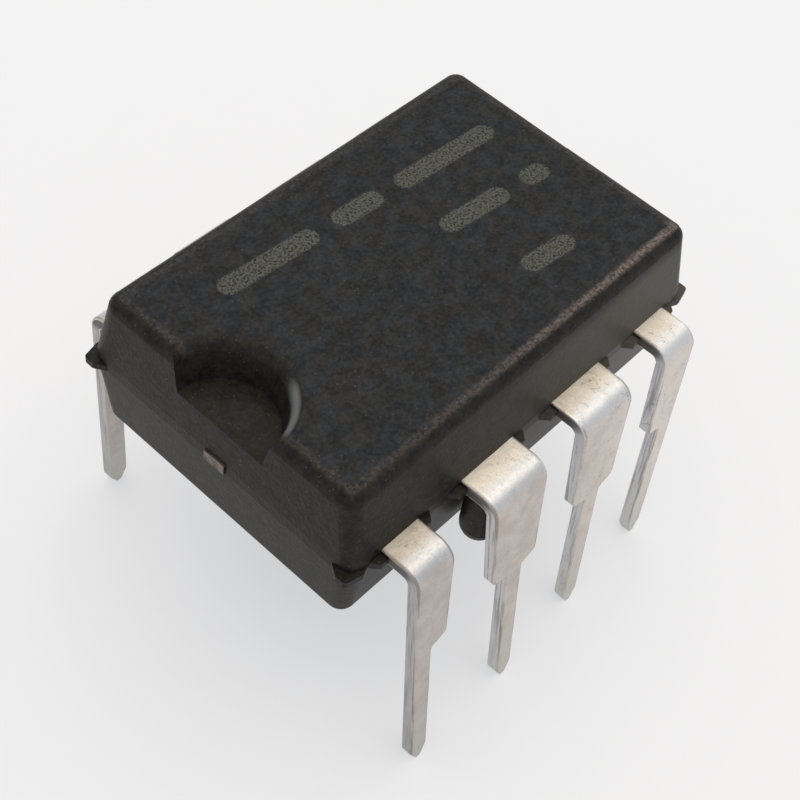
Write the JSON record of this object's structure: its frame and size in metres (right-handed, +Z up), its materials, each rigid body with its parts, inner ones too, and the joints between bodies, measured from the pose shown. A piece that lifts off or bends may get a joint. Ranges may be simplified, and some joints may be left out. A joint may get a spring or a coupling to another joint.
{
  "type": "pwm controller chip",
  "caption": "Dual in-line integrated circuit in black moulded resin, with bent tinned leads in two rows for through-hole boards or sockets.",
  "frame": {"origin": "under the middle of the body, level with the tips of the leads", "axes": "+X along the body, away from the end with the half-round notch; -Y towards leads 1 to 4; +Z up out of the marked face"},
  "size_m": [0.0098, 0.0098, 0.0076],
  "materials": {
    "moulding_compound": "fine matt grain with tiny glints from its mineral filler, slightly smoother on the drafted sides",
    "tinned_lead": "satin tin plating over copper, warm grey, lightly scratched and mottled, darker on the sheared edges",
    "frame_copper": "bare stamped copper alloy",
    "die_attach_paste": "cured silver-filled paste",
    "silicon": "polished silicon with a faint grid of circuitry",
    "bond_wire_gold": "drawn gold"
  },
  "bodies": {
    "root": {"moulded_body": "moulding_compound", "lead_1": "tinned_lead", "lead_2": "tinned_lead", "lead_3": "tinned_lead", "lead_4": "tinned_lead", "lead_5": "tinned_lead", "lead_6": "tinned_lead", "lead_7": "tinned_lead", "lead_8": "tinned_lead", "die_paddle": "frame_copper", "die_attach": "die_attach_paste", "silicon_die": "silicon", "bond_wire_1": "bond_wire_gold", "bond_wire_2": "bond_wire_gold", "bond_wire_3": "bond_wire_gold", "bond_wire_4": "bond_wire_gold", "bond_wire_5": "bond_wire_gold", "bond_wire_6": "bond_wire_gold", "bond_wire_7": "bond_wire_gold", "bond_wire_8": "bond_wire_gold"}
  },
  "joints": []
}
